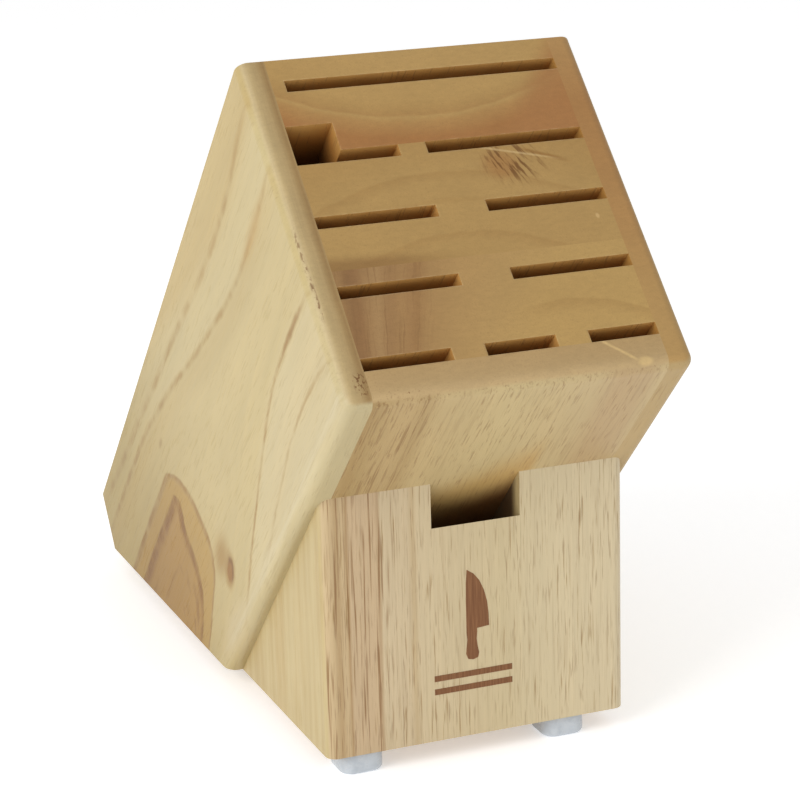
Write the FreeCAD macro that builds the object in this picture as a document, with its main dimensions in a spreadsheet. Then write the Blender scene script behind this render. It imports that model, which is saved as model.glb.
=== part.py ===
"""A slanted hardwood knife block, empty, glued up from boards, strips and wedge staves.

Frame: millimetres, +Z up, the front of the block faces -Y and +X is to the right of someone
facing it. The origin is the centre of the bounding box at the level of the surface that the
feet stand on.

The body is a thick slab that leans back: its slotted end faces up and to the front, and its
long axis runs down to the rear. Every board of the body is drawn in the slab's own axes, so
that its sketch reads like a cut list: across the slab, from the lower front face to the back
face, and along the slab, from the slotted face down to the underside.
"""
import FreeCAD, Part
import os

import Sketcher
from FreeCAD import Rotation, Vector

doc = FreeCAD.newDocument("KnifeBlock")

# ---------------------------------------------------------------------------
# Driving dimensions
# ---------------------------------------------------------------------------

DRIVING_DIMENSIONS = (
    ("face_tilt", 45.0, "angle between the slotted face and the horizontal, degrees"),
    ("front_rise", 141.1, "front corner of the body above the level underside"),
    ("front_overhang", 44.9, "front corner of the body ahead of the base's front face"),
    ("back_length", 309.4, "back face, from the slotted face to the rear corner"),
    ("rear_toe", 15.5, "how far the rear end leans out from the underside up to that corner"),
    ("core_width", 107.0, "boards between the two cheeks"),
    ("cheek_thickness", 10.0, "each side cheek"),
    ("front_board", 12.5, "board in front of the fifth row"),
    ("board_four", 23.2, "board between the fifth and fourth rows"),
    ("board_three_front", 6.2, "thin front part of the board between the fourth and third rows"),
    ("board_three", 17.0, "rest of the board between the fourth and third rows"),
    ("board_two", 21.3, "board between the third and second rows"),
    ("board_one", 25.8, "board between the second and first rows"),
    ("back_board", 9.0, "board behind the first row"),
    ("slot_gap", 4.8, "thickness of every knife slot"),
    ("well_width", 17.1, "honing steel well, along the second row"),
    ("well_depth", 16.2, "honing steel well, across the slab"),
    ("strip_one_width", 4.9, "strip that closes the left end of the first row"),
    ("strip_two_offset", 37.9, "left end of the core to the second row's strip"),
    ("strip_two_width", 10.0, "strip between the short and long slots of the second row"),
    ("strip_three_offset", 43.9, "left end of the core to the third row's strip"),
    ("strip_three_width", 18.3, "strip in the middle of the third row"),
    ("strip_four_offset", 43.5, "left end of the core to the fourth row's strip"),
    ("strip_four_width", 18.8, "strip in the middle of the fourth row"),
    ("strip_five_left_offset", 32.0, "left end of the core to the fifth row's first strip"),
    ("strip_five_right_offset", 69.8, "left end of the core to the fifth row's second strip"),
    ("strip_five_width", 12.0, "each of the two strips of the fifth row"),
    ("edge_round", 4.2, "rounding of the cheeks' outer front and top edges, and of the nose"),
    ("base_width", 115.4, "wedge base, left to right"),
    ("base_round", 4.0, "rounding of the base's upright front corners"),
    ("shears_width", 33.8, "shears slot in the top of the base"),
    ("shears_depth", 11.5, "shears slot, square to the body's lower front face"),
    ("foot_width", 16.5, "each bumper foot, both ways"),
    ("foot_corner", 5.0, "rounding of a foot's upright corners"),
    ("foot_thickness", 7.6, "each bumper foot, under its adhesive disc"),
    ("foot_round", 1.8, "rounding of the rim that a foot stands on"),
    ("adhesive_diameter", 14.0, "each adhesive disc"),
    ("adhesive_thickness", 0.6, "each adhesive disc"),
    ("front_foot_inset", 10.0, "base's front face to the centres of the front feet"),
    ("front_left_foot", 43.8, "middle of the block to the front left foot"),
    ("front_right_foot", 35.0, "middle of the block to the front right foot"),
    ("rear_foot_inset", 43.5, "rear end of the underside to the centres of the rear feet"),
    ("rear_foot_spread", 42.0, "middle of the block to each rear foot"),
)

sheet = doc.addObject("Spreadsheet::Sheet", "Dimensions")
for row, (alias, size, meaning) in enumerate(DRIVING_DIMENSIONS, start=1):
    sheet.set("A%d" % row, meaning)
    sheet.set("B%d" % row, str(size))
    sheet.setAlias("B%d" % row, alias)
doc.recompute()


def dim(alias):
    """The expression for one driving dimension."""
    return "Dimensions.%s" % alias


def total(*terms):
    """The expression for a sum of driving dimensions."""
    return "(%s)" % " + ".join(dim(term) for term in terms)


def number(expression):
    """What an expression is worth now, in millimetres."""
    return float(sheet.evalExpression(expression))


# ---------------------------------------------------------------------------
# Derived lines of the slab, as expressions
# ---------------------------------------------------------------------------

SINE = "sin(Dimensions.face_tilt)"
COSINE = "cos(Dimensions.face_tilt)"

# The slab's layers, from the lower front face to the back face.
LAYERS = (
    "front_board",
    "slot_gap",
    "board_four",
    "slot_gap",
    "board_three_front",
    "board_three",
    "slot_gap",
    "board_two",
    "slot_gap",
    "board_one",
    "slot_gap",
    "back_board",
)
FRONT_FACE = "0"
SLAB_THICKNESS = total(*LAYERS)


def layer_start(index):
    """Distance across the slab from the lower front face to the start of a layer."""
    return total(*LAYERS[:index]) if index else FRONT_FACE


# Level run from the front corner of the body back to the rear end of the underside.
UNDERSIDE_REACH = "(%s * %s + %s * %s - %s)" % (
    SLAB_THICKNESS, COSINE, dim("back_length"), SINE, dim("rear_toe"))

# The rear end of the underside in the slab's own axes, across it and along it.
HEEL_ACROSS = "(%s * %s - %s * %s)" % (UNDERSIDE_REACH, COSINE, dim("front_rise"), SINE)
HEEL_ALONG = "(%s * %s + %s * %s)" % (UNDERSIDE_REACH, SINE, dim("front_rise"), COSINE)

# The block stands on its feet, and its box is centred over the origin.
UNDERSIDE = total("adhesive_thickness", "foot_thickness")
NOSE_SETBACK = "(%s * (%s + %s - 1))" % (dim("edge_round"), COSINE, SINE)
BASE_FRONT = "(%s - (%s + %s + %s) / 2)" % (
    dim("front_overhang"), NOSE_SETBACK, UNDERSIDE_REACH, dim("rear_toe"))
CORNER_PLACE = (
    "(%s - %s)" % (BASE_FRONT, dim("front_overhang")),
    "(%s + %s)" % (UNDERSIDE, dim("front_rise")),
)
CORE_LEFT = "(-%s / 2)" % dim("core_width")


def length_at(across):
    """Length of the slab at a distance across it, down to the underside or the rear end."""
    if number(across) <= number(HEEL_ACROSS):
        return "((%s + %s * %s) / %s)" % (dim("front_rise"), across, SINE, COSINE)
    return "(%s + (%s - %s) * (%s - %s) / (%s - %s))" % (
        HEEL_ALONG, across, HEEL_ACROSS, dim("back_length"), HEEL_ALONG,
        SLAB_THICKNESS, HEEL_ACROSS)


# ---------------------------------------------------------------------------
# Helpers
# ---------------------------------------------------------------------------

pieces = []


def new_body(label, left, front, bottom):
    """A body whose own origin sits at a bound place in the block."""
    body = doc.addObject("PartDesign::Body", label)
    body.Label = label
    for axis, place in zip("xyz", (left, front, bottom)):
        body.setExpression(".Placement.Base.%s" % axis, place)
    pieces.append(body)
    return body


def new_sketch(body, role):
    """An empty sketch on one of the body's own origin planes."""
    sketch = body.newObject("Sketcher::SketchObject", body.Name + "Sketch")
    plane = next(item for item in body.Origin.OriginFeatures if item.Role == role)
    sketch.AttachmentSupport = [(plane, "")]
    sketch.MapMode = "FlatFace"
    return sketch


def bind(sketch, kind, *references_and_expression):
    """A distance constraint that follows an expression."""
    *references, expression = references_and_expression
    index = sketch.addConstraint(Sketcher.Constraint(kind, *references, number(expression)))
    sketch.setExpression("Constraints[%d]" % index, expression)


def closed_outline(sketch, corners):
    """Straight lines through the corners and back to the first, joined end to start."""
    points = [Vector(number(first), number(second), 0) for first, second in corners]
    ends = points[1:] + points[:1]
    lines = [sketch.addGeometry(Part.LineSegment(*pair)) for pair in zip(points, ends)]
    for line, following in zip(lines, lines[1:] + lines[:1]):
        sketch.addConstraint(Sketcher.Constraint("Coincident", line, 2, following, 1))
    return lines


def pad(body, sketch, length):
    """The sketch extruded along its normal by a bound length."""
    feature = body.newObject("PartDesign::Pad", body.Name + "Pad")
    feature.Profile = sketch
    feature.setExpression("Length", length)
    sketch.Visibility = False
    doc.recompute()
    return feature


def round_edges(body, radius, chosen):
    """A fillet on every edge of the body whose two ends both pass the test."""
    tip = body.Tip
    names = [
        "Edge%d" % number_of_edge
        for number_of_edge, edge in enumerate(tip.Shape.Edges, start=1)
        if all(chosen(vertex.Point) for vertex in edge.Vertexes)
    ]
    feature = body.newObject("PartDesign::Fillet", body.Name + "Fillet")
    feature.Base = (tip, names)
    feature.setExpression("Radius", radius)
    doc.recompute()


def near(value, target):
    return abs(value - target) < 0.001


# ---------------------------------------------------------------------------
# Body of the block
# ---------------------------------------------------------------------------

X_AXIS_LINE = -1
ORIGIN = (-1, 1)


def slab_piece(label, left, width, across_from, across_to):
    """A piece of the slab between two distances across it, as wide as bound.

    The outline lies in the piece's YZ plane with the distance across the slab along +Y and
    the slotted face at Z = 0. The body then turns about X by the tilt of the slotted face.
    """
    body = new_body(label, left, *CORNER_PLACE)
    body.Placement.Rotation = Rotation(Vector(1, 0, 0), number(dim("face_tilt")))
    body.setExpression(".Placement.Rotation.Angle", "%s * 1 deg" % dim("face_tilt"))

    holds_heel = number(across_from) < number(HEEL_ACROSS) < number(across_to)
    corners = [(across_from, "0"), (across_to, "0"), (across_to, "-" + length_at(across_to))]
    if holds_heel:
        corners.append((HEEL_ACROSS, "-" + HEEL_ALONG))
    corners.append((across_from, "-" + length_at(across_from)))

    sketch = new_sketch(body, "YZ_Plane")
    lines = closed_outline(sketch, corners)
    top, far_side, near_side = lines[0], lines[1], lines[-1]
    if across_from == FRONT_FACE:
        sketch.addConstraint(Sketcher.Constraint("Coincident", top, 1, *ORIGIN))
    else:
        sketch.addConstraint(Sketcher.Constraint("PointOnObject", top, 1, X_AXIS_LINE))
        bind(sketch, "DistanceX", *ORIGIN, top, 1, across_from)
    sketch.addConstraint(Sketcher.Constraint("Horizontal", top))
    sketch.addConstraint(Sketcher.Constraint("Vertical", far_side))
    sketch.addConstraint(Sketcher.Constraint("Vertical", near_side))
    bind(sketch, "DistanceX", top, 1, top, 2, "%s - %s" % (across_to, across_from))
    bind(sketch, "DistanceY", far_side, 2, far_side, 1, length_at(across_to))
    bind(sketch, "DistanceY", near_side, 1, near_side, 2, length_at(across_from))
    if holds_heel:
        heel = lines[2]
        bind(sketch, "DistanceX", *ORIGIN, heel, 2, HEEL_ACROSS)
        bind(sketch, "DistanceY", heel, 2, *ORIGIN, HEEL_ALONG)
    pad(body, sketch, width)
    return body


def core_board(label, layer, left_offset=None):
    """A full-width board of the core, or one that starts short of the left cheek."""
    left = CORE_LEFT
    width = dim("core_width")
    if left_offset:
        left = "(%s + %s)" % (CORE_LEFT, dim(left_offset))
        width = "(%s - %s)" % (dim("core_width"), dim(left_offset))
    return slab_piece(label, left, width, layer_start(layer), layer_start(layer + 1))


def slot_strip(label, layer, width, left_offset=None):
    """A strip that separates or closes the slots of one row."""
    left = "(%s + %s)" % (CORE_LEFT, dim(left_offset)) if left_offset else CORE_LEFT
    return slab_piece(label, left, dim(width), layer_start(layer), layer_start(layer + 1))


def on_nose(point):
    return near(point.y, 0) and near(point.z, 0)


def make_core():
    front = core_board("front_board", 0)
    round_edges(front, dim("edge_round"), on_nose)
    core_board("core_board_four", 2)
    core_board("core_board_three_front", 4)
    core_board("core_board_three", 5)
    core_board("core_board_two", 7)
    core_board("core_board_one", 9, left_offset="well_width")
    core_board("back_board", 11)


def make_strips():
    slot_strip("row_one_strip", 10, "strip_one_width")
    slot_strip("row_two_strip", 8, "strip_two_width", "strip_two_offset")
    slot_strip("row_three_strip", 6, "strip_three_width", "strip_three_offset")
    slot_strip("row_four_strip", 3, "strip_four_width", "strip_four_offset")
    slot_strip("row_five_left_strip", 1, "strip_five_width", "strip_five_left_offset")
    slot_strip("row_five_right_strip", 1, "strip_five_width", "strip_five_right_offset")
    # The well is cut deeper than its row, so a narrower board closes it behind.
    well_back = "(%s + %s)" % (layer_start(8), dim("well_depth"))
    slab_piece("well_backing", CORE_LEFT, dim("well_width"), well_back, layer_start(10))


def make_cheek(label, left, outer_side):
    """A side cheek, rounded at its outer front, outer top and nose; outer_side is 0 or its thickness."""
    cheek = slab_piece(label, left, dim("cheek_thickness"), FRONT_FACE, SLAB_THICKNESS)
    outer = number(outer_side)

    def on_outer_front_or_nose(point):
        on_outer_face = near(point.x, outer)
        return (on_outer_face and (near(point.y, 0) or near(point.z, 0))) or on_nose(point)

    round_edges(cheek, dim("edge_round"), on_outer_front_or_nose)


def make_cheeks():
    make_cheek("left_cheek", "(%s - %s)" % (CORE_LEFT, dim("cheek_thickness")), "0")
    make_cheek("right_cheek", "(%s / 2)" % dim("core_width"), dim("cheek_thickness"))


# ---------------------------------------------------------------------------
# Wedge base
# ---------------------------------------------------------------------------


def wedge_stave(label, left, right, cut):
    """An upright-grained stave under the lower front face, its top lowered by a cut."""
    height = "(%s - (%s * %s + %s) / %s)" % (
        dim("front_rise"), dim("front_overhang"), COSINE, cut, SINE)
    depth = "((%s * %s - %s) / %s - %s)" % (
        dim("front_rise"), SINE, cut, COSINE, dim("front_overhang"))
    stave = new_body(label, left, BASE_FRONT, UNDERSIDE)
    sketch = new_sketch(stave, "YZ_Plane")
    bottom, slope, front = closed_outline(sketch, [("0", "0"), (depth, "0"), ("0", height)])
    sketch.addConstraint(Sketcher.Constraint("Coincident", bottom, 1, *ORIGIN))
    sketch.addConstraint(Sketcher.Constraint("Horizontal", bottom))
    sketch.addConstraint(Sketcher.Constraint("Vertical", front))
    bind(sketch, "DistanceX", *ORIGIN, slope, 1, depth)
    bind(sketch, "DistanceY", *ORIGIN, slope, 2, height)
    pad(stave, sketch, "%s - %s" % (right, left))
    return stave


def round_front_corner(stave, side):
    """Round the upright front corner of an outer stave, on its left or its right side."""
    outer = number(side)
    round_edges(
        stave, dim("base_round"), lambda point: near(point.x, outer) and near(point.y, 0))


def make_base():
    """Six staves side by side; the two under the shears slot are lower."""
    half_base = "%s / 2" % dim("base_width")
    half_slot = "%s / 2" % dim("shears_width")
    joint = "(%s + %s) / 4" % (dim("base_width"), dim("shears_width"))
    outer_width = "%s - %s" % (half_base, joint)

    far_left = wedge_stave("base_stave_far_left", "(-%s)" % half_base, "(-%s)" % joint, "0")
    round_front_corner(far_left, "0")
    wedge_stave("base_stave_left", "(-%s)" % joint, "(-%s)" % half_slot, "0")
    wedge_stave("base_stave_centre_left", "(-%s)" % half_slot, "0", dim("shears_depth"))
    wedge_stave("base_stave_centre_right", "0", "(%s)" % half_slot, dim("shears_depth"))
    wedge_stave("base_stave_right", "(%s)" % half_slot, "(%s)" % joint, "0")
    far_right = wedge_stave("base_stave_far_right", "(%s)" % joint, "(%s)" % half_base, "0")
    round_front_corner(far_right, outer_width)


# ---------------------------------------------------------------------------
# Feet
# ---------------------------------------------------------------------------


def bumper(corner, across, along):
    """A soft square bumper centred on a place, with rounded corners and a rounded rim to stand on."""
    width = dim("foot_width")
    left = "(%s - %s / 2)" % (across, width)
    front = "(%s - %s / 2)" % (along, width)
    foot = new_body("foot_" + corner, left, front, "0")
    sketch = new_sketch(foot, "XY_Plane")
    corners = (("0", "0"), (width, "0"), (width, width), ("0", width))
    front_side, right_side, rear_side, left_side = closed_outline(sketch, corners)
    sketch.addConstraint(Sketcher.Constraint("Coincident", front_side, 1, *ORIGIN))
    for side in (front_side, rear_side):
        sketch.addConstraint(Sketcher.Constraint("Horizontal", side))
    for side in (right_side, left_side):
        sketch.addConstraint(Sketcher.Constraint("Vertical", side))
    bind(sketch, "DistanceX", front_side, 1, front_side, 2, width)
    bind(sketch, "DistanceY", right_side, 1, right_side, 2, width)
    pad(foot, sketch, dim("foot_thickness"))
    for x, y in corners:
        upright = Vector(number(x), number(y), 0)
        round_edges(
            foot, dim("foot_corner"), lambda point: near(point.x, upright.x) and near(point.y, upright.y))
    round_edges(foot, dim("foot_round"), lambda point: near(point.z, 0))


def adhesive(corner, across, along):
    """A thin round disc between a bumper and the underside."""
    body = new_body("adhesive_" + corner, across, along, dim("foot_thickness"))
    sketch = new_sketch(body, "XY_Plane")
    outline = Part.Circle(Vector(0, 0, 0), Vector(0, 0, 1), number(dim("adhesive_diameter")) / 2)
    circle = sketch.addGeometry(outline)
    sketch.addConstraint(Sketcher.Constraint("Coincident", circle, 3, *ORIGIN))
    bind(sketch, "Diameter", circle, dim("adhesive_diameter"))
    pad(body, sketch, dim("adhesive_thickness"))


def make_foot(corner, across, along):
    bumper(corner, across, along)
    adhesive(corner, across, along)


def make_feet():
    front = "(%s + %s)" % (BASE_FRONT, dim("front_foot_inset"))
    rear = "(%s - %s + %s - %s)" % (
        BASE_FRONT, dim("front_overhang"), UNDERSIDE_REACH, dim("rear_foot_inset"))
    make_foot("front_left", "(-%s)" % dim("front_left_foot"), front)
    make_foot("front_right", dim("front_right_foot"), front)
    make_foot("rear_left", "(-%s)" % dim("rear_foot_spread"), rear)
    make_foot("rear_right", dim("rear_foot_spread"), rear)


# ---------------------------------------------------------------------------
# Build, check and write
# ---------------------------------------------------------------------------


def check_pieces():
    """Stop at any object that failed to compute or any piece that is no sound solid."""
    for item in doc.Objects:
        if "Invalid" in item.State or "Error" in item.State:
            raise RuntimeError("%s failed: %s" % (item.Label, item.State))
    for piece in pieces:
        shape = piece.Shape
        if shape.isNull() or not shape.isValid() or len(shape.Solids) != 1:
            raise RuntimeError("%s is not one sound solid" % piece.Label)


def write_pieces():
    os.makedirs("parts", exist_ok=True)
    for piece in pieces:
        piece.Shape.exportStep("parts/%s.step" % piece.Label)


make_core()
make_strips()
make_cheeks()
make_base()
make_feet()
doc.recompute()
check_pieces()
write_pieces()
print("%d pieces written" % len(pieces))
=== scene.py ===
"""The looks of an empty wooden knife block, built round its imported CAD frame.

Wood colours are worked out in millimetres, in one of two grain frames:
- the slab's: x across, t from the front board's face to the back, w down the grain from the slotted face;
- the base's: x across, y behind the base's front, z above the base's underside, which is along its grain.
"""

import math

import bpy
from mathutils import Matrix, Vector

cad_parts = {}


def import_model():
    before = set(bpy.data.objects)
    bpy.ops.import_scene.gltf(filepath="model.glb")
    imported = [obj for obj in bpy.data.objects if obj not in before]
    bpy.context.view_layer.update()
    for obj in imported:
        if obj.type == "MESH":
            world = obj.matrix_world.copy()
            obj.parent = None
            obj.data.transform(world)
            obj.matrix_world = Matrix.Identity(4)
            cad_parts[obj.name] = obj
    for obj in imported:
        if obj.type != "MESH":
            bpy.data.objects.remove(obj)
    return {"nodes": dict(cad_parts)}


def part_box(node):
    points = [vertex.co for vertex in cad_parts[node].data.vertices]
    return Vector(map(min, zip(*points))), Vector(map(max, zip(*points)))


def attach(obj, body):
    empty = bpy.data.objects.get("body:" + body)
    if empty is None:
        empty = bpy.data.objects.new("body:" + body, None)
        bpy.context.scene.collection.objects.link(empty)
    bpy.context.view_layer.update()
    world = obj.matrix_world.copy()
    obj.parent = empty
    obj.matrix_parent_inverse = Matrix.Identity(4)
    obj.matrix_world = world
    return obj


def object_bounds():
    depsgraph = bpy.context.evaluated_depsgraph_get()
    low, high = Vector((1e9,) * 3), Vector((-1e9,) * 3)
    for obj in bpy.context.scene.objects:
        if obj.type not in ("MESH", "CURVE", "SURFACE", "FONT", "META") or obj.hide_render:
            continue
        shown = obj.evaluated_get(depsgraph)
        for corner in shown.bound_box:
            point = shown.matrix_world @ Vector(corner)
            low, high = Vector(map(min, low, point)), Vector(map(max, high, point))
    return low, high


MM = 0.001

# the photograph's view, about a point set off from the middle of the whole object
VIEW_AZIMUTH = 21.24
VIEW_ELEVATION = 15.78
VIEW_ROLL = -1.59
VIEW_DISTANCE = 0.9386
VIEW_LENS = 117.63
AIM_OFFSET = Vector((-0.0118, -0.0748, 0.0003))

SLAB_TILT = math.radians(45)
SLAB_UP = Vector((0, math.cos(SLAB_TILT), math.sin(SLAB_TILT)))
SLAB_ALONG = Vector((0, math.sin(SLAB_TILT), -math.cos(SLAB_TILT)))
SIDEWAYS = Vector((1, 0, 0))
VERTICAL = Vector((0, 0, 1))
WHITE = (1, 1, 1, 1)

# the studio: how brightly the world and the floor glow, and its soft lamps as
# (name, azimuth, elevation, distance in metres, size in metres, watts)
WORLD_GLOW = 0.62
FLOOR_GLOW = 0.40
FLOOR_HALF = 8.0
LAMPS = (
    ("key", -62, 26, 1.5, 0.8, 11),
    ("fill", 30, 40, 2.0, 1.6, 3),
)

CHEEKS = ("left_cheek", "right_cheek")
ZONE_NODES = {
    "core_rear": ("back_board", "core_board_one", "row_one_strip", "well_backing"),
    "core_upper": ("core_board_two", "row_two_strip"),
    "core_middle": ("core_board_three", "row_three_strip"),
    "core_lower": (
        "core_board_three_front",
        "core_board_four",
        "row_four_strip",
        "row_five_left_strip",
        "row_five_right_strip",
    ),
    "core_front": ("front_board",),
}


def srgb(red, green, blue):
    """A colour given in 0 to 255 display steps, as the linear one that a shader takes."""
    shares = [step / 255 for step in (red, green, blue)]
    linear = [s / 12.92 if s <= 0.04045 else ((s + 0.055) / 1.055) ** 2.4 for s in shares]
    return (*linear, 1)


# ---------------------------------------------------------------- shader arithmetic


class Value:
    """A number that varies over the surface, which takes part in ordinary sums."""

    def __init__(self, graph, socket):
        self.graph = graph
        self.socket = socket

    def __add__(self, other):
        return self.graph.math("ADD", self, other)

    def __radd__(self, other):
        return self.graph.math("ADD", other, self)

    def __sub__(self, other):
        return self.graph.math("SUBTRACT", self, other)

    def __rsub__(self, other):
        return self.graph.math("SUBTRACT", other, self)

    def __mul__(self, other):
        return self.graph.math("MULTIPLY", self, other)

    def __rmul__(self, other):
        return self.graph.math("MULTIPLY", other, self)

    def __truediv__(self, other):
        return self.graph.math("DIVIDE", self, other)

    def __abs__(self):
        return self.graph.math("ABSOLUTE", self)


class Graph:
    """One material's node tree, with the few kinds of node that the materials here are made of."""

    def __init__(self, name):
        self.material = bpy.data.materials.new(name)
        self.material.use_nodes = True
        self.tree = self.material.node_tree
        self.tree.nodes.clear()

    def node(self, kind, **settings):
        made = self.tree.nodes.new(kind)
        for key, value in settings.items():
            setattr(made, key, value)
        return made

    def feed(self, socket, value):
        if isinstance(value, Value):
            self.tree.links.new(value.socket, socket)
        else:
            socket.default_value = value

    def math(self, operation, *inputs):
        made = self.node("ShaderNodeMath", operation=operation)
        for socket, value in zip(made.inputs, inputs):
            self.feed(socket, value)
        return Value(self, made.outputs[0])

    def point(self, x, y, z):
        made = self.node("ShaderNodeCombineXYZ")
        for socket, value in zip(made.inputs, (x, y, z)):
            self.feed(socket, value)
        return Value(self, made.outputs[0])

    def place(self, origin, tilt=0.0):
        """x, y and z in millimetres from origin, in a frame that is tilted about X."""
        source = self.node("ShaderNodeTexCoord")
        mapping = self.node("ShaderNodeMapping", vector_type="TEXTURE")
        mapping.inputs["Location"].default_value = origin
        mapping.inputs["Rotation"].default_value = (tilt, 0, 0)
        mapping.inputs["Scale"].default_value = (MM, MM, MM)
        split = self.node("ShaderNodeSeparateXYZ")
        self.tree.links.new(source.outputs["Object"], mapping.inputs["Vector"])
        self.tree.links.new(mapping.outputs["Vector"], split.inputs[0])
        return [Value(self, output) for output in split.outputs]

    def facing(self, axis):
        """How squarely the surface faces along axis, either way: 0 to 1."""
        geometry = self.node("ShaderNodeNewGeometry")
        dot = self.node("ShaderNodeVectorMath", operation="DOT_PRODUCT")
        dot.inputs[1].default_value = axis
        self.tree.links.new(geometry.outputs["Normal"], dot.inputs[0])
        return abs(Value(self, dot.outputs["Value"]))

    def smooth(self, value, start, end):
        """0 up to start, 1 from end on, and smooth in between; start may be the higher."""
        made = self.node("ShaderNodeMapRange", interpolation_type="SMOOTHSTEP")
        self.feed(made.inputs["Value"], value)
        made.inputs["From Min"].default_value = start
        made.inputs["From Max"].default_value = end
        return Value(self, made.outputs["Result"])

    def near(self, value, centre, reach):
        """1 at centre, falling to 0 at reach away from it."""
        return self.smooth(abs(value - centre), reach, 0)

    def length(self, a, b):
        return self.math("SQRT", a * a + b * b)

    def spot(self, a, b, centre, radii, core, rim=1.0):
        """1 in the core of an ellipse, falling to 0 at its rim; both are shares of its radii."""
        across = (a - centre[0]) / radii[0]
        along = (b - centre[1]) / radii[1]
        return self.smooth(self.length(across, along), rim, core)

    def noise(self, x, y, z, detail=2.0, roughness=0.5):
        """Soft noise about 0, one wave to a unit of the three numbers."""
        made = self.node("ShaderNodeTexNoise")
        self.feed(made.inputs["Vector"], self.point(x, y, z))
        made.inputs["Scale"].default_value = 1
        made.inputs["Detail"].default_value = detail
        made.inputs["Roughness"].default_value = roughness
        return Value(self, made.outputs[0]) - 0.5

    def ramp(self, value, stops):
        """A colour from (value, colour) stops in rising order."""
        first, last = stops[0][0], stops[-1][0]
        share = (value - first) / (last - first)
        made = self.node("ShaderNodeValToRGB")
        self.feed(made.inputs["Fac"], share)
        elements = made.color_ramp.elements
        while len(elements) < len(stops):
            elements.new(0.5)
        for element, (position, colour) in zip(elements, stops):
            element.position = (position - first) / (last - first)
            element.color = colour
        return Value(self, made.outputs["Color"])

    def curve(self, value, points, reach=320, low=-60, high=160):
        """A smooth line through points, for values from 0 to reach and results from low to high."""
        made = self.node("ShaderNodeFloatCurve")
        line = made.mapping.curves[0]
        for _ in points[2:]:
            line.points.new(0.5, 0.5)
        for handle, (along, up) in zip(line.points, points):
            handle.location = (along / reach, (up - low) / (high - low))
        made.mapping.update()
        self.feed(made.inputs["Value"], value / reach)
        return Value(self, made.outputs["Value"]) * (high - low) + low

    def mix(self, colour, other, factor):
        made = self.node("ShaderNodeMix", data_type="RGBA")
        self.feed(made.inputs[0], factor)
        self.feed(made.inputs[6], colour)
        self.feed(made.inputs[7], other)
        return Value(self, made.outputs[2])

    def tinted(self, colour, gain):
        made = self.node("ShaderNodeVectorMath", operation="MULTIPLY")
        self.feed(made.inputs[0], colour)
        made.inputs[1].default_value = gain
        return Value(self, made.outputs[0])

    def scaled(self, colour, factor):
        made = self.node("ShaderNodeVectorMath", operation="SCALE")
        self.feed(made.inputs[0], colour)
        self.feed(made.inputs["Scale"], factor)
        return Value(self, made.outputs[0])

    def finish(self, colour, roughness, height, specular=0.3, glow=0.0):
        """Joins colour, roughness and a relief in millimetres to the surface, which may glow white."""
        bump = self.node("ShaderNodeBump")
        bump.inputs["Distance"].default_value = MM
        self.feed(bump.inputs["Height"], height)
        shader = self.node("ShaderNodeBsdfPrincipled")
        shader.inputs["Specular IOR Level"].default_value = specular
        shader.inputs["Emission Color"].default_value = WHITE
        shader.inputs["Emission Strength"].default_value = glow
        self.feed(shader.inputs["Base Color"], colour)
        self.feed(shader.inputs["Roughness"], roughness)
        self.tree.links.new(bump.outputs["Normal"], shader.inputs["Normal"])
        output = self.node("ShaderNodeOutputMaterial")
        self.tree.links.new(shader.outputs[0], output.inputs["Surface"])
        return self.material


# ---------------------------------------------------------------- the frame


class Slab:
    """The thick slab as the frame has it: its front corner, and in mm its depth and the core's sides."""

    def __init__(self, nodes):
        self.nodes = nodes
        names = [name for zone in ZONE_NODES.values() for name in zone] + list(CHEEKS)
        self.nose = SLAB_UP * self.lowest_along(names, SLAB_UP)
        self.nose += SLAB_ALONG * self.lowest_along(names, SLAB_ALONG)
        self.depth = self.span("back_board")[1]
        self.left, self.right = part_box("left_cheek")[1].x / MM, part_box("right_cheek")[0].x / MM

    def lowest_along(self, names, axis):
        return min(vertex.co.dot(axis) for name in names for vertex in self.nodes[name].data.vertices)

    def span(self, name):
        """Where a node begins and ends behind the front board's face, in mm."""
        depths = [(vertex.co - self.nose).dot(SLAB_UP) / MM for vertex in self.nodes[name].data.vertices]
        return min(depths), max(depths)


SLOT_ROWS = (
    ("row_one_strip",),
    ("row_two_strip",),
    ("row_three_strip",),
    ("row_four_strip",),
    ("row_five_left_strip", "row_five_right_strip"),
)


def slots_of(slab):
    """(left, right, front, back) of each slot in mm, the gaps between a row's strips and the cheeks."""
    slots = []
    for strips in SLOT_ROWS:
        front, back = slab.span(strips[0])
        edges = [slab.left]
        for strip in strips:
            low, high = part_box(strip)
            edges += [low.x / MM, high.x / MM]
        edges.append(slab.right)
        pairs = zip(edges[::2], edges[1::2])
        slots += [(start, stop, front, back) for start, stop in pairs if stop - start > 1]
    well_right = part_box("well_backing")[1].x / MM
    well_front = slab.span("row_two_strip")[0]
    slots.append((slab.left, well_right, well_front, slab.span("well_backing")[0]))
    return slots


def slots_by_zone(slab):
    """The slots whose rims reach into each zone of the core."""
    slots = slots_of(slab)
    zones = {}
    for zone, names in ZONE_NODES.items():
        spans = [slab.span(name) for name in names]
        low, high = min(span[0] for span in spans) - 1, max(span[1] for span in spans) + 1
        zones[zone] = [slot for slot in slots if slot[2] < high and slot[3] > low]
    return zones


# ---------------------------------------------------------------- wood


PORE = srgb(122, 88, 54)
PIT = srgb(120, 76, 36)

# how long each wood's pores are in mm, and how strongly they show
CORE_PORES = (10.0, 0.42)
LEFT_CHEEK_PORES = (12.0, 0.12)
RIGHT_CHEEK_PORES = (12.0, 0.25)
BASE_PORES = (14.0, 0.40)

# these shift the noise, so that no two pieces have the same marks
CORE_SEED_STEP = 3.0
LEFT_CHEEK_SEED = 21.0
RIGHT_CHEEK_SEED = 27.0
STAVE_SEED_STEP = 5.0

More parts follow.
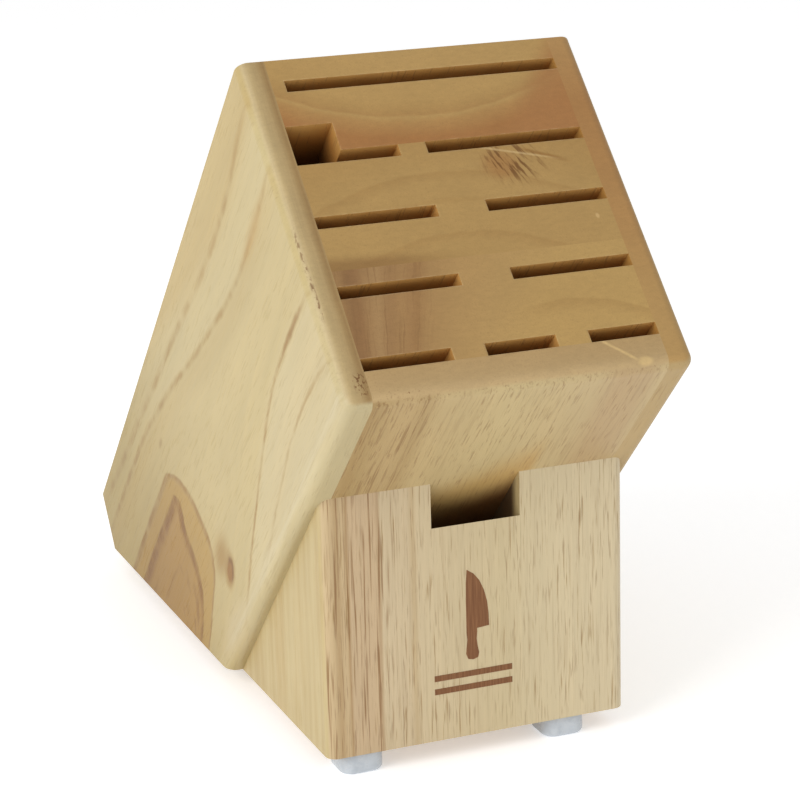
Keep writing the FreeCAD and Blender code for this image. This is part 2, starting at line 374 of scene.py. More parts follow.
# how much of its own tones' light each wood throws back, where cut across the grain and along it
CORE_GAINS = ((0.94, 0.90, 0.746), (0.85, 0.83, 0.785))
CHEEK_GAINS = ((0.725, 0.69, 0.60), (0.725, 0.69, 0.59))
BASE_GAINS = ((0.88, 0.88, 0.86), (0.88, 0.88, 0.86))


def dashes(graph, place, pitch, length, seed, start=0.05, end=0.18):
    """Dark marks that run along the grain, and are dots where it is cut across."""
    x, y, z = place
    field = graph.noise(x / pitch + seed, y / pitch, z / length, detail=2.0, roughness=0.6)
    return graph.smooth(field, start, end)


def wood(graph, place, along, tones, gains, pores, seed, rims=None):
    """Fine fibres and pores over the two tones of one piece, across the grain's cut ends and along it."""
    x, y, z = place
    pore_length, pore_share = pores
    end = graph.smooth(graph.facing(along), 0.60, 0.90)
    end_colour, long_colour = (graph.tinted(tone, gain) for tone, gain in zip(tones, gains))
    fibres = graph.noise(x / 0.6 + seed, y / 0.6, z / 26, detail=3.0, roughness=0.6)
    clouds = graph.noise(x / 14 + seed, y / 14, z / 55, detail=2.0)
    mottle = graph.noise(x / 3.2, y / 1.6 + seed, z / 40, detail=3.0, roughness=0.65) * end
    marks = dashes(graph, place, 0.8, pore_length, seed + 50) * graph.smooth(clouds, -0.35, 0.10)
    marks = marks * (1 - 0.65 * end)
    colour = graph.mix(long_colour, end_colour, end)
    colour = graph.scaled(colour, 1 + 0.16 * fibres + 0.16 * clouds + 0.24 * mottle)
    colour = graph.mix(colour, PORE, marks * pore_share)
    height = 0.05 * fibres - 0.05 * marks
    # the slots' rims: the relief eases them, and the colour lifts them with a painted highlight
    if rims is not None:
        eased = rims * end
        colour = graph.mix(colour, PALE_HIGHLIGHT_AND_SCRATCH, eased * 0.24 * graph.smooth(mottle, -0.15, 0.15))
        height = height - 0.12 * eased
    roughness = 0.47 + 0.20 * fibres + 0.10 * marks
    return graph.finish(colour, roughness, height)


TAN = srgb(176, 144, 94)
PINK = srgb(160, 114, 69)
OLIVE = srgb(172, 141, 92)
# a pale tone for two things: the painted highlight on the slots' rims, and a real scratch
PALE_HIGHLIGHT_AND_SCRATCH = srgb(214, 188, 146)
RING = srgb(164, 120, 32)


def slab_place(graph, slab):
    """x, t and w of the slab's grain frame."""
    x, t, up = graph.place(slab.nose, SLAB_TILT)
    return x, t, up * -1


def slot_rims(graph, x, t, slots):
    """1 on the eased rims of these slots, on the slotted face."""
    nearest = None
    for left, right, front, back in slots:
        across = abs(x - (left + right) / 2) - (right - left) / 2
        deep = abs(t - (front + back) / 2) - (back - front) / 2
        distance = graph.math("MAXIMUM", across, deep)
        nearest = distance if nearest is None else graph.math("MINIMUM", nearest, distance)
    return graph.smooth(nearest, 0.5, 0.0)


def plain_long(graph, x, t, w, slab):
    """Long grain of the slab's outer faces, and between them the slots' walls, which carry painted shade.
    """
    outer = graph.ramp(
        x + 3 * graph.noise(x / 12, t / 12, w / 80),
        [
            (-54, srgb(196, 170, 124)),
            (-20, srgb(206, 184, 138)),
            (0, srgb(202, 178, 132)),
            (25, srgb(208, 186, 142)),
            (54, srgb(196, 168, 122)),
        ],
    )
    inside = graph.smooth(t, 1, 3) * graph.smooth(t, slab.depth - 1, slab.depth - 3)
    # painted shade on the slots' walls
    return graph.mix(outer, slot_wall_tone_and_shade(graph, x, t, w), inside)


def slot_wall_tone_and_shade(graph, x, t, w):
    """The slots' walls: the sawn wood's tone at the slotted face, then painted shade that darkens it down
    the slot, where the light hardly reaches.
    """
    return graph.ramp(
        w + 5 * graph.noise(x / 10, t / 10, w / 10),
        [(0, srgb(208, 160, 92)), (7, srgb(184, 130, 66)), (20, srgb(132, 88, 44)), (60, srgb(98, 62, 34))],
    )


def slot_ends(graph, tone, x, t, w, slab):
    """A cheek's tone, with painted shade on its inner face where it closes the slots."""
    inner_face = graph.smooth(abs(x), slab.right + 1.0, slab.right + 0.3)
    inside = graph.smooth(t, 3, 5) * graph.smooth(t, slab.depth - 3, slab.depth - 5)
    # painted shade where the cheek closes the slots
    return graph.mix(tone, slot_wall_tone_and_shade(graph, x, t, w), inner_face * inside)


def front_long(graph, x, t, w):
    """The long grain of the front board, in bands across its width, with painted shade where it runs into
    the shears slot.
    """
    tone = graph.ramp(
        x + 2.0 * graph.noise(x / 5, t / 7, w / 60) - 0.05 * w,
        [
            (-57, srgb(182, 156, 110)),
            (-53.5, srgb(171, 143, 96)),
            (-50, srgb(177, 151, 104)),
            (-45, srgb(186, 160, 114)),
            (-39, srgb(190, 164, 118)),
            (-34, srgb(182, 156, 110)),
            (-28, srgb(197, 174, 128)),
            (-2, srgb(200, 180, 134)),
            (28, srgb(198, 176, 132)),
            (36, srgb(190, 163, 121)),
            (47, srgb(191, 165, 123)),
            (52, srgb(200, 178, 134)),
            (58, srgb(190, 164, 120)),
        ],
    )
    left = 0.30 + 0.70 * graph.smooth(x, -26, -34)
    runs = dashes(graph, (x, t, w), 1.5, 36, 70, 0.03, 0.17)
    fine = dashes(graph, (x, t, w), 0.8, 14, 74, 0.08, 0.22)
    tone = graph.mix(tone, srgb(132, 97, 56), runs * left * 0.55)
    tone = graph.mix(tone, srgb(150, 116, 72), fine * 0.42)
    # painted shade in the shears slot: a warm darker tint, then dark brown, deeper down the slot and to the
    # right
    depth = w + 0.67 * x + 3 * graph.noise(x / 8, t / 8, w / 8)
    inside = graph.smooth(abs(x), 24, 19)
    tone = graph.mix(tone, graph.tinted(tone, (0.95, 0.80, 0.58)), graph.smooth(depth, 50, 74) * inside)
    return graph.mix(tone, srgb(116, 68, 34), graph.smooth(depth, 74, 94) * inside * 0.80)


def uneven(graph, x, t, w):
    """How far growth rings stray from true circles, in mm."""
    return 3.5 * graph.noise(x / 25, t / 25, w / 120) + 2.0 * graph.noise(x / 7, t / 5, w / 90, detail=3.0)


def core_rear(graph, x, t, w):
    """Round the first row: tan rings that sag in the middle, and pink below them and at the right."""
    ring = graph.length(x * 0.75, t - 175) + uneven(graph, x, t, w)
    tone = graph.ramp(
        ring,
        [
            (34, srgb(178, 147, 98)),
            (58, TAN),
            (62, srgb(170, 137, 88)),
            (64, srgb(166, 131, 84)),
            (65, TAN),
            (67, srgb(170, 133, 85)),
            (74, PINK),
            (98, srgb(162, 117, 72)),
        ],
    )
    right = graph.smooth(x - 0.74 * (t - 105) - 24, 0, 12)
    return graph.mix(tone, srgb(162, 116, 73), right * 0.8)


def core_upper(graph, x, t, w):
    """Between the second and third rows: two faint rings, and a torn, scratched patch."""
    ring = graph.length(x + 5, t + 16) + uneven(graph, x, t, w)
    tone = graph.ramp(
        ring,
        [
            (86, OLIVE),
            (89, OLIVE),
            (90.5, srgb(169, 137, 88)),
            (92, OLIVE),
            (98, OLIVE),
            (102, srgb(165, 133, 85)),
            (103, OLIVE),
            (125, srgb(166, 133, 84)),
        ],
    )
    flush = graph.spot(x, t, (19, 87), (9, 8), 0.3)
    tone = graph.mix(tone, srgb(156, 108, 60), flush * 0.55)
    patch = graph.spot(x, t, (24, 88), (16, 13), 0.3)
    slant = (x - 5) / (1 + 0.022 * (90 - t))
    tears = graph.smooth(graph.noise(slant * 0.75, t / 8, w / 30, detail=3.0), -0.02, 0.12)
    tone = graph.mix(tone, srgb(112, 74, 34), patch * tears * 0.9)
    tail = graph.near(t - 92 + 0.42 * (x - 30) + 1.2 * graph.noise(x / 4, t / 4, w), 0, 1.4)
    tail = tail * graph.smooth(x, 27, 31) * graph.smooth(x, 47, 40)
    tone = graph.mix(tone, srgb(140, 102, 52), tail * 0.75)
    scratch = graph.near(t - 95 + 0.28 * (x - 13), 0, 0.8) * graph.smooth(x, 10, 16)
    return graph.mix(tone, PALE_HIGHLIGHT_AND_SCRATCH, scratch * graph.smooth(x, 46, 30) * 0.5)


def core_middle(graph, x, t, w):
    """Between the third and fourth rows: a faint ring, a dark joint at the left and a pale dot."""
    ring = graph.length(x + 5, t + 19) + uneven(graph, x, t, w)
    tone = graph.ramp(
        ring,
        [
            (66, OLIVE),
            (76, OLIVE),
            (80, srgb(166, 134, 86)),
            (81, OLIVE),
            (108, srgb(173, 142, 93)),
        ],
    )
    joint = graph.smooth(t + 0.04 * x, 56, 51.5) * graph.smooth(x, 0, -35)
    tone = graph.mix(tone, srgb(134, 100, 60), joint * 0.70)
    dot = graph.spot(x, t, (47.5, 62), (1.0, 1.6), 0.3)
    return graph.mix(tone, srgb(214, 184, 140), dot * 0.5)


def core_lower(graph, x, t, w):
    """Round the fourth and fifth rows: dark streaks that fan out from the left, and a faint arch."""
    rise = t - 35
    fan = (x - 0.538 * rise) / (1 + 0.0075 * rise) + 2.0 * graph.noise(x / 9, t / 30, w / 90)
    fan = fan + 2.0 * graph.noise(x / 1.8, t / 26, w / 60, detail=3.0)
    tone = graph.ramp(
        fan,
        [
            (-60, srgb(157, 126, 86)),
            (-54, srgb(152, 119, 81)),
            (-51, srgb(137, 103, 69)),
            (-48, srgb(143, 108, 73)),
            (-45.5, srgb(154, 121, 84)),
            (-42, srgb(162, 130, 92)),
            (-38, srgb(152, 118, 81)),
            (-33, srgb(159, 125, 85)),
            (-30, srgb(156, 121, 82)),
            (-28, srgb(151, 116, 77)),
            (-24, srgb(163, 130, 88)),
            (-14, srgb(170, 138, 93)),
            (0, srgb(174, 143, 96)),
            (20, srgb(179, 148, 97)),
            (60, srgb(181, 150, 98)),
        ],
    )
    arch = graph.length(x - 24, t + 30) + 1.5 * graph.noise(x / 10, t / 10, w / 90)
    faint = graph.smooth(arch, 54, 60) * graph.smooth(arch, 61, 60) * graph.smooth(x, 5, 20)
    tone = graph.mix(tone, srgb(162, 130, 82), faint * 0.5)
    streaks = dashes(graph, (fan, 0.0, t), 1.1, 40, 33, 0.02, 0.20) * graph.smooth(fan, -18, -30)
    return graph.mix(tone, srgb(130, 96, 62), streaks * 0.45)


def core_front(graph, x, t, w):
    """In front of the fifth row: paler to the nose with a painted highlight on its rounded edge, with a
    light streak that ends in a knot, and pits.
    """
    # painted highlight: the tone pales towards the rounded nose
    tone = graph.ramp(
        t + 1.5 * graph.noise(x / 14, t / 5, w / 90),
        [(0, srgb(192, 168, 133)), (6, srgb(178, 152, 115)), (13, srgb(176, 148, 109))],
    )
    streak = graph.near(t - 12.5 + 0.85 * (x - 32) + graph.noise(x / 3, t / 3, w), 0, 1.2)
    streak = streak * graph.smooth(t, 2.5, 5)
    pale_knot = graph.spot(x, t, (45, 3), (3.2, 2.0), 0.5, rim=1.1)
    tone = graph.mix(tone, srgb(216, 188, 140), graph.math("MAXIMUM", streak * 0.7, pale_knot * 0.6))
    pits = graph.smooth(graph.noise(x / 0.8, t / 1.2, 5.0), 0.10, 0.18)
    pits = pits * graph.smooth(abs(x + 44), 10, 5) * graph.near(t, 3, 2)
    return graph.mix(tone, PORE, pits * 0.8)


END_TONES = {
    "core_rear": core_rear,
    "core_upper": core_upper,
    "core_middle": core_middle,
    "core_lower": core_lower,
    "core_front": core_front,
}


def core_materials(slab):
    """The wood of each zone of the core, with its own slots' rims eased and lit by a painted highlight."""
    slots = slots_by_zone(slab)
    made = {}
    for place, (zone, end_tone) in enumerate(END_TONES.items()):
        graph = Graph(zone)
        x, t, w = slab_place(graph, slab)
        end = end_tone(graph, x, t, w)
        long = plain_long(graph, x, t, w, slab)
        if zone == "core_front":
            long = graph.mix(front_long(graph, x, t, w), long, graph.smooth(t, 9, 12))
        rims = slot_rims(graph, x, t, slots[zone])
        made[zone] = wood(
            graph, (x, t, w), SLAB_ALONG, (end, long), CORE_GAINS, CORE_PORES, CORE_SEED_STEP * place, rims
        )
    return made


def figured(graph, figure, x, w, stops, contrast):
    """Flat-sawn tones by the place across a cheek's figure, with fine grain and broad bands along it."""
    grain = graph.noise(figure / 1.6, x / 3, w / 50, detail=3.0, roughness=0.6)
    bands = graph.noise(figure / 8, x / 20, w / 160, detail=2.0)
    return graph.scaled(graph.ramp(figure, stops), 1 + 0.10 * grain + contrast * bands)


def ring_line(graph, above, sharp, soft):
    """A growth ring's dark edge at above = 0: sharp below it, and fading over soft above it."""
    return graph.smooth(above, -sharp, 0) * graph.smooth(above, soft, 0)


def left_side(graph, x, t, w):
    """The left cheek's long grain: four ring lines, stains where two of them start, an arch and a knot."""
    sway = 2.0 * graph.noise(x / 60, t / 45, w / 70) + 1.6 * graph.noise(x / 12, t / 12, w / 22)
    swayed = t + sway
    top = swayed - graph.curve(w, [(0, 124), (20, 122), (40, 118), (80, 115), (150, 121), (300, 133)])
    upper = swayed - graph.curve(w, [(0, 96), (40, 91), (70, 91), (110, 97), (200, 116), (300, 121)])
    lower = swayed - graph.curve(w, [(0, 45), (30, 46), (60, 43), (110, 26), (160, 4), (220, -20)])
    lowest = swayed - graph.curve(w, [(0, 19), (40, 22), (80, 16), (120, 5), (160, -6), (220, -20)])
    blend = graph.smooth(swayed, 35, 90)
    figure = (upper + 95) * blend + (lower + 44) * (1 - blend)
    stops = [
        (0, srgb(214, 200, 163)),
        (16, srgb(215, 200, 161)),
        (22, srgb(214, 198, 158)),
        (40, srgb(217, 202, 162)),
        (50, srgb(212, 195, 149)),
        (80, srgb(212, 195, 150)),
        (91, srgb(208, 189, 142)),
        (98, srgb(215, 200, 158)),
        (114, srgb(213, 197, 154)),
        (124, srgb(208, 187, 138)),
        (145, srgb(209, 189, 141)),
    ]
    tone = figured(graph, figure, x, w, stops, 0.16)
    patchy = graph.smooth(graph.noise(w / 11, t / 50, x / 9, detail=3.0), -0.20, 0.16)
    patchy = patchy * graph.smooth(w, 4, 18)
    ragged = 1.6 * graph.noise(w / 5, t / 3, x / 5, detail=3.0)
    lines = (
        (top, 2.6, 4.0, 0.44),
        (upper, 2.6, 2.6, 0.56),
        (lower, 1.5, 2.4, graph.smooth(w, 166, 140) * 0.70),
        (lowest, 1.2, 2.0, graph.smooth(w, 126, 100) * 0.54),
    )
    for above, sharp, soft, strength in lines:
        line = ring_line(graph, above + ragged, sharp, soft) * (0.25 + 0.75 * patchy)
        tone = graph.mix(tone, RING, line * strength)
    stain = graph.spot(w, upper, (34, 0), (30, 6), 0.1)
    tone = graph.mix(tone, srgb(196, 158, 92), stain * 0.5)
    start = graph.spot(w, lower + ragged, (26, 0), (22, 2.6), 0.1)
    tone = graph.mix(tone, srgb(154, 110, 34), start * 0.60)
    between = graph.smooth(lower, 0, -4) * graph.smooth(w, 15, 50)
    tone = graph.mix(tone, srgb(228, 218, 186), between * 0.12)
    pale = graph.spot(w, t, (175, 6), (30, 12), 0.2)
    tone = graph.mix(tone, srgb(224, 210, 180), pale * 0.5)
    tone = cathedral(graph, tone, w + sway, swayed)
    return knot(graph, tone, w, t)


def left_end(graph, x, t, w):
    """The left cheek's slotted end: pale at its rounded edge with a painted highlight, darker towards the
    joint, and pitted.
    """
    # the palest stops, at the rounded outer edge, are a painted highlight
    tone = graph.ramp(
        x + graph.noise(x / 4, t / 18, w / 60),
        [
            (-63, srgb(224, 208, 172)),
            (-60, srgb(203, 181, 138)),
            (-57, srgb(194, 169, 125)),
            (-55.4, srgb(177, 149, 104)),
            (-54.4, srgb(168, 138, 94)),
            (-53.5, srgb(184, 156, 110)),
        ],
    )
    tone = graph.scaled(tone, 1 + 0.20 * graph.noise(x / 0.8, t / 25, w / 60, detail=3.0))
    return graph.mix(tone, PIT, cheek_pits(graph, x, t) * 0.8)


def left_cheek(slab):
    """Its long grain has a painted highlight by the front edge, is darker to the rear, and has painted
    shade right along the front edge.
    """
    graph = Graph("left_cheek_wood")
    x, t, w = slab_place(graph, slab)
    tone = left_side(graph, x, t, w)
    # painted highlight: pale streaks along the rounded front edge
    painted_sheen = graph.near(t, 5, 7) * graph.smooth(graph.noise(t / 2.5, w / 45, x / 4), -0.15, 0.15)
    tone = graph.mix(tone, srgb(230, 221, 194), painted_sheen * 0.40)
    tone = graph.mix(tone, graph.tinted(tone, (0.76, 0.70, 0.53)), graph.smooth(w, 140, 290))
    # painted shade: the very front edge is darkened
    tone = graph.scaled(tone, 1 - 0.07 * graph.smooth(t, 5, 0))
    tone = slot_ends(graph, tone, x, t, w, slab)
    end = left_end(graph, x, t, w)
    return wood(graph, (x, t, w), SLAB_ALONG, (end, tone), CHEEK_GAINS, LEFT_CHEEK_PORES, LEFT_CHEEK_SEED)


def cheek_pits(graph, x, t):
    """Open pores on the left cheek's end: a chain along its rounded edge and a cluster at the nose."""
    chain = graph.near(x + 61.6 + 0.02 * (t - 50), 0, 0.9) * graph.smooth(abs(t - 52), 20, 15)
    chain = chain * graph.smooth(graph.noise(x / 0.9, t / 2.4, 4.0), -0.04, 0.06)
    cluster = graph.spot(x, t, (-56, 8), (2.8, 5.5), 0.6)
    cluster = cluster * graph.smooth(graph.noise(x / 1.0, t / 1.6, 8.0), 0.01, 0.09)
    return graph.math("MAXIMUM", chain, cluster)


def cathedral(graph, tone, w, t):
    """Two nested growth-ring arches at the rear of the left cheek, dark-edged and brown inside."""
    ragged = 2.4 * graph.noise(t / 5, w / 9, 2.0, detail=3.0, roughness=0.6)
    outer_edge = [(0, 258), (17, 216), (26, 196), (36, 180), (60, 181), (78, 191), (88, 201), (100, 226)]
    inner_edge = [(0, 262), (24, 222), (34, 206), (45, 201), (65, 203), (75, 201), (84, 210), (100, 240)]
    outer = w - graph.curve(t, outer_edge, 100, 150, 300) + ragged
    inner = w - graph.curve(t, inner_edge, 100, 150, 300) + ragged
    outer = graph.math("MINIMUM", outer, 93 - t)
    inner = graph.math("MINIMUM", inner, 82 - t + 0.4 * ragged)
    tone = graph.mix(tone, srgb(197, 165, 98), graph.smooth(outer, 0, 5))
    edge = graph.smooth(outer, -1.5, 0.6) * graph.smooth(outer, 5.0, 1.0)
    patchy = graph.smooth(graph.noise(t / 9, w / 9, 6.0), -0.25, 0.15)
    tone = graph.mix(tone, srgb(160, 114, 22), edge * (0.30 + 0.45 * patchy))
    tone = graph.mix(tone, srgb(190, 153, 86), graph.smooth(inner, 0, 3))
    streaks = graph.noise(inner / 6, t / 14, w / 60, detail=3.0)
    tone = graph.mix(tone, srgb(164, 124, 60), graph.smooth(streaks, 0.0, 0.25) * graph.smooth(inner, 2, 8))
    heart = graph.smooth(inner, -1.0, 0.8) * graph.smooth(inner, 8.0, 3.0)
    return graph.mix(tone, srgb(142, 94, 12), heart * (0.35 + 0.45 * patchy))


def knot(graph, tone, w, t):
    """A small brown knot in front of the arches, with a smear that reaches back to them."""
    across, up = (w - 163) + 0.3 * (t - 25), t - 25
    distance = graph.length(across / 6.0, up / 4.6) + 0.5 * graph.noise(w / 5, t / 5, 3.0)
    smear = graph.spot(w, t, (168, 34), (16, 11), 0.1)
    halo = graph.smooth(distance, 1.7, 0.8)
    for cover, strength in ((smear, 0.75), (halo, 0.7)):
        tone = graph.mix(tone, srgb(176, 138, 70), cover * strength)
    tone = graph.mix(tone, srgb(158, 106, 34), graph.smooth(distance, 0.9, 0.5) * 0.75)
    dark = graph.near(distance, 0.75, 0.35) * graph.smooth(across, 3, -3)
    tone = graph.mix(tone, srgb(124, 78, 16), dark * 0.7)
    speck = graph.spot(w, t, (205, 105), (5, 2.2), 0.2)
    return graph.mix(tone, srgb(168, 134, 82), speck * 0.5)


def right_cheek(slab):
    """Three ring lines over flat-sawn grain, and an end that reddens at the middle of its length."""
    graph = Graph("right_cheek_wood")
    x, t, w = slab_place(graph, slab)
    sway = 2.5 * graph.noise(x / 60, t / 45, w / 70 + 9) + 1.2 * graph.noise(x / 12, t / 12, w / 26)
    swayed = t + sway
    top = swayed - graph.curve(w, [(0, 116), (80, 122), (200, 112), (320, 96)])
    upper = swayed - graph.curve(w, [(0, 84), (80, 92), (180, 80), (320, 60)])
    lower = swayed - graph.curve(w, [(0, 52), (60, 58), (140, 44), (240, 6), (320, -40)])
    stops = [
        (0, srgb(200, 174, 128)),
        (30, srgb(210, 190, 146)),
        (80, srgb(204, 180, 134)),
        (86, srgb(210, 190, 146)),
        (120, srgb(200, 172, 126)),
        (150, srgb(206, 183, 138)),
    ]
    tone = figured(graph, upper + 84, x, w, stops, 0.14)
    for above, soft, strength in ((top, 2.6, 0.40), (upper, 1.8, 0.48), (lower, 1.8, 0.44)):
        tone = graph.mix(tone, RING, ring_line(graph, above, 1.4, soft) * strength)
    end = graph.ramp(
        t + 2 * graph.noise(x / 4, t / 18, w / 60),
        [
            (0, srgb(200, 164, 108)),
            (30, srgb(197, 160, 104)),
            (60, srgb(191, 149, 95)),
            (110, srgb(184, 138, 86)),
            (140, srgb(194, 155, 102)),
        ],
    )
    tone = slot_ends(graph, tone, x, t, w, slab)
    return wood(graph, (x, t, w), SLAB_ALONG, (end, tone), CHEEK_GAINS, RIGHT_CHEEK_PORES, RIGHT_CHEEK_SEED)


STAVES = ("far_left", "left", "centre_left", "centre_right", "right", "far_right")


def base_front(graph, x, y, z, seed, bands):
    """Straight grain in upright bands of tone, with long dark runs at the left and short marks all over."""
    wander = 1.0 * graph.noise(x / 4, y / 4, z / 45, detail=2.0)
    tone = graph.ramp(
        x + wander,
        [
            (-58, srgb(203, 180, 142)),
            (-54.0, srgb(196, 170, 130)),
            (-52.2, srgb(182, 153, 112)),
            (-50.6, srgb(198, 173, 134)),
            (-49.2, srgb(196, 170, 131)),
            (-48.5, srgb(172, 141, 100)),
            (-47.6, srgb(200, 174, 139)),
            (-38, srgb(198, 172, 137)),
            (-36.8, srgb(182, 154, 118)),
            (-35.8, srgb(206, 186, 152)),
            (-26, srgb(204, 184, 150)),
            (-24, srgb(195, 172, 134)),
            (-22, srgb(206, 187, 152)),
            (10, srgb(206, 188, 150)),
            (20, srgb(210, 193, 157)),
            (58, srgb(214, 197, 163)),
        ],
    )
    tone = graph.scaled(tone, 1 + 0.16 * bands)
    left = graph.smooth(x, -28, -37)
    runs = dashes(graph, (x, y, z), 1.2, 44.0, seed + 9, 0.04, 0.18) * (0.15 + 0.70 * left)
    tone = graph.mix(tone, srgb(138, 102, 62), runs)
    thick = graph.smooth(graph.noise(x / 9 + seed, y / 9, z / 34, detail=2.0), -0.22, 0.14)
    short = dashes(graph, (x, y, z), 0.9, 22.0, seed + 17, 0.07, 0.21) * thick
    return graph.mix(tone, srgb(154, 123, 78), short * 0.90)


def base_stave(name, origin, seed):
    """The tone runs across the whole base, and the marks differ from stave to stave; the shears notch's
    walls carry painted shade.
    """
    graph = Graph("base_wood_" + name)
    x, y, z = graph.place(origin)
    bands = graph.noise(x / 2.2 + seed, y / 4, z / 70, detail=3.0)
    front = base_front(graph, x, y, z, seed, bands)
    side = graph.mix(srgb(198, 179, 133), srgb(188, 164, 115), graph.smooth(bands, -0.2, 0.25))
    # painted shade: the walls of the shears notch are made nearly black-brown
    painted_notch_shade = graph.smooth(abs(x), 30, 24) * graph.smooth(y, 2, 8)
    side = graph.mix(side, srgb(62, 36, 18), painted_notch_shade * 0.92)
    facing_side = graph.smooth(graph.facing(SIDEWAYS), 0.7, 0.95)
    long = graph.mix(front, side, facing_side)
    end = graph.mix(srgb(178, 148, 104), srgb(168, 138, 94), graph.smooth(bands, -0.2, 0.2))
    pore_length, pore_share = BASE_PORES
    pores = (pore_length, pore_share * (1 - 0.8 * facing_side))
    return wood(graph, (x, y, z), VERTICAL, (end, long), BASE_GAINS, pores, seed)


# ---------------------------------------------------------------- small pieces


def mesh_object(name, points, faces):
    mesh = bpy.data.meshes.new(name)
    mesh.from_pydata(points, [], faces)
    mesh.update()
    made = bpy.data.objects.new(name, mesh)
    bpy.context.scene.collection.objects.link(made)
    return made


def clear_rubber():
    """Slightly hazy, faintly blue bumpers."""
    graph = Graph("clear_rubber")
    x, y, z = graph.place((0, 0, 0))
    haze = graph.noise(x / 3, y / 3, z / 3)
    colour = graph.mix(srgb(188, 194, 200), srgb(176, 183, 190), graph.smooth(haze, -0.2, 0.2))
    return graph.finish(colour, 0.28 + 0.1 * haze, 0.02 * haze, specular=0.5)


def adhesive():
    """Thin off-white discs with a speckle."""
    graph = Graph("adhesive")
    x, y, z = graph.place((0, 0, 0))
    speckle = graph.noise(x, y, z, detail=3.0)
    colour = graph.mix(srgb(214, 214, 210), srgb(190, 190, 186), graph.smooth(speckle, -0.2, 0.2))
    return graph.finish(colour, 0.6 + 0.2 * speckle, 0.02 * speckle)


# a plain knife and two plain bars, as (x, z) outlines in mm from the base's middle and underside
KNIFE_OUTLINE = (
    (-3.9, 29.2),
    (-1.9, 28.8),
    (-0.1, 29.4),
    (0.3, 31.2),
    (-0.2, 33.5),
    (-0.6, 36.5),
    (-0.3, 39.0),
    (-0.3, 40.4),
    (4.3, 40.8),
    (4.2, 45.5),
    (3.7, 50.0),
    (2.6, 54.3),
    (0.9, 58.2),
    (-1.3, 61.0),
    (-3.9, 62.8),
    (-4.3, 57.5),
    (-4.4, 51.0),
    (-4.4, 39.0),
    (-4.1, 36.5),
    (-4.5, 33.5),
    (-4.7, 31.2),
)
BAR_LEFT, BAR_RIGHT, BAR_HEIGHT = -17.0, 13.0, 2.2
BAR_BOTTOMS = (22.6, 17.6)
MARK_OUT, MARK_IN = 0.08, 0.02


def mark_ink():
    """Brown print that lets a little of the upright grain through."""
    graph = Graph("mark_ink")
    x, y, z = graph.place((0, 0, 0))
    grain = graph.noise(x / 0.6, y / 0.6, z / 14, detail=3.0)
    colour = graph.mix(srgb(112, 72, 42), srgb(134, 92, 58), graph.smooth(grain, -0.15, 0.25))
    return graph.finish(colour, 0.62 + 0.15 * grain, 0.03 * grain)


def printed_mark(front, underside):
    """The generic mark on the base's front, as thin plates that reach just into the wood."""
    outlines = [KNIFE_OUTLINE]
    for low in BAR_BOTTOMS:
        high = low + BAR_HEIGHT
        outlines.append(((BAR_LEFT, low), (BAR_RIGHT, low), (BAR_RIGHT, high), (BAR_LEFT, high)))
    points, faces = [], []
    for outline in outlines:
        start, count = len(points), len(outline)
        for offset in (-MARK_OUT, MARK_IN):
            points += [(x * MM, front + offset * MM, underside + z * MM) for x, z in outline]
        ahead = range(start, start + count)
        faces.append(tuple(ahead))
        faces.append(tuple(point + count for point in reversed(ahead)))
        for here, after in zip(ahead, [*ahead[1:], start]):
            faces.append((here, here + count, after + count, after))
    mark = mesh_object("printed_mark", points, faces)
    mark.data.materials.append(mark_ink())
    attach(mark, "root")


def paint(nodes, name, material):
    """Gives a CAD node this material and no other."""
    mesh = nodes[name].data
    mesh.materials.clear()
    mesh.materials.append(material)


# ---------------------------------------------------------------- studio


def make_floor():
    """A plain pale floor, which glows a little so that it stays nearly white round the object."""
    corners = [(-1, -1), (1, -1), (1, 1), (-1, 1)]
    points = [(x * FLOOR_HALF, y * FLOOR_HALF, 0) for x, y in corners]
    floor = mesh_object("floor", points, [(0, 1, 2, 3)])
    graph = Graph("floor_paint")
    x, y, z = graph.place((0, 0, 0))
    grain = graph.noise(x / 4, y / 4, z, detail=3.0)
    colour = graph.mix(srgb(248, 248, 248), srgb(245, 245, 245), graph.smooth(grain, -0.2, 0.2))
    floor.data.materials.append(
        graph.finish(colour, 0.7 + 0.1 * grain, 0.02 * grain, specular=0.1, glow=FLOOR_GLOW)
    )


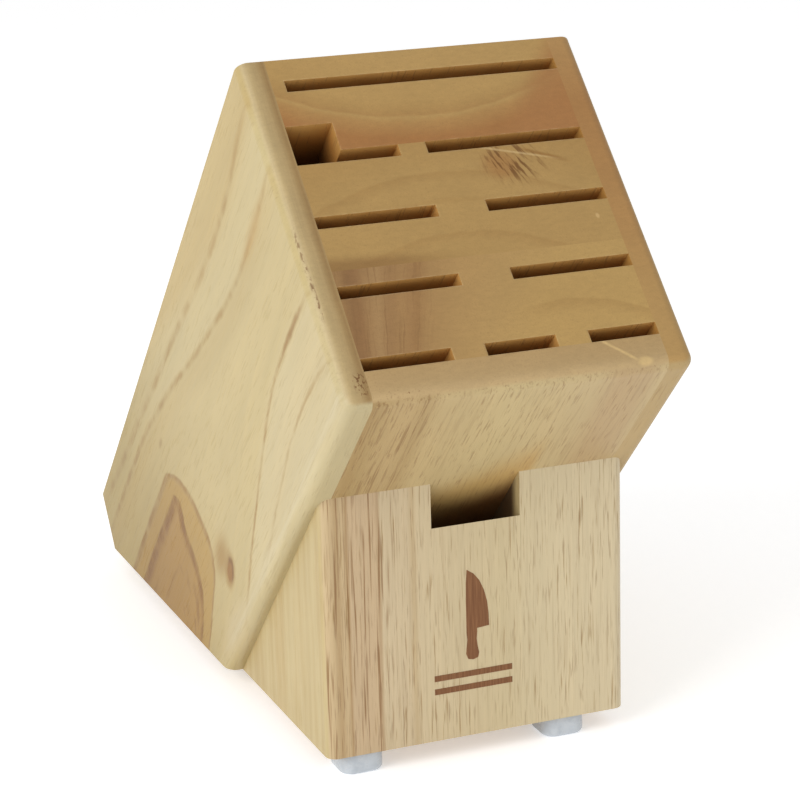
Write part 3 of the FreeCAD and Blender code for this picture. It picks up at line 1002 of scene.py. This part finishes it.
def area_light(name, azimuth, elevation, distance, size, power, aim):
    """A soft square lamp that looks at aim; azimuth 0 is in front of the object and 90 at its right."""
    turn, rise = math.radians(azimuth), math.radians(elevation)
    back = Vector((math.sin(turn) * math.cos(rise), -math.cos(turn) * math.cos(rise), math.sin(rise)))
    lamp = bpy.data.lights.new(name, "AREA")
    lamp.size = size
    lamp.energy = power
    made = bpy.data.objects.new(name, lamp)
    made.location = aim + back * distance
    made.rotation_euler = back.to_track_quat("Z", "Y").to_euler()
    bpy.context.scene.collection.objects.link(made)


def make_world():
    """Even white light from all round."""
    world = bpy.data.worlds.new("studio")
    world.use_nodes = True
    background = world.node_tree.nodes["Background"]
    background.inputs["Color"].default_value = WHITE
    background.inputs["Strength"].default_value = WORLD_GLOW
    bpy.context.scene.world = world


def make_camera(aim):
    data = bpy.data.cameras.new("camera")
    data.lens = VIEW_LENS
    camera = bpy.data.objects.new("camera", data)
    turn = (
        Matrix.Rotation(-math.radians(VIEW_AZIMUTH), 3, "Z")
        @ Matrix.Rotation(math.radians(90 - VIEW_ELEVATION), 3, "X")
        @ Matrix.Rotation(math.radians(VIEW_ROLL), 3, "Z")
    )
    camera.rotation_euler = turn.to_euler()
    camera.location = aim + turn @ Vector((0, 0, VIEW_DISTANCE))
    bpy.context.scene.collection.objects.link(camera)
    bpy.context.scene.camera = camera


def make_studio(centre):
    """Floor, lights and camera round the object's middle."""
    bpy.context.scene.view_settings.view_transform = "Standard"
    make_floor()
    make_world()
    for lamp in LAMPS:
        area_light(*lamp, centre)
    make_camera(centre + AIM_OFFSET)


# ---------------------------------------------------------------- assembly


def main():
    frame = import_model()
    cad_box = [list(corner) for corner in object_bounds()]
    nodes = frame["nodes"]
    slab = Slab(nodes)

    core = core_materials(slab)
    for zone, names in ZONE_NODES.items():
        for name in names:
            paint(nodes, name, core[zone])
    paint(nodes, "left_cheek", left_cheek(slab))
    paint(nodes, "right_cheek", right_cheek(slab))

    low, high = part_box("base_stave_left")
    origin = (0, low.y, low.z)
    for place, name in enumerate(STAVES):
        paint(nodes, "base_stave_" + name, base_stave(name, origin, STAVE_SEED_STEP * place))
    printed_mark(low.y, low.z)

    rubber, glue = clear_rubber(), adhesive()
    for name in nodes:
        if name.startswith("foot_"):
            paint(nodes, name, rubber)
        if name.startswith("adhesive_"):
            paint(nodes, name, glue)

    low, high = (Vector(corner) for corner in cad_box)
    make_studio((low + high) / 2)


main()
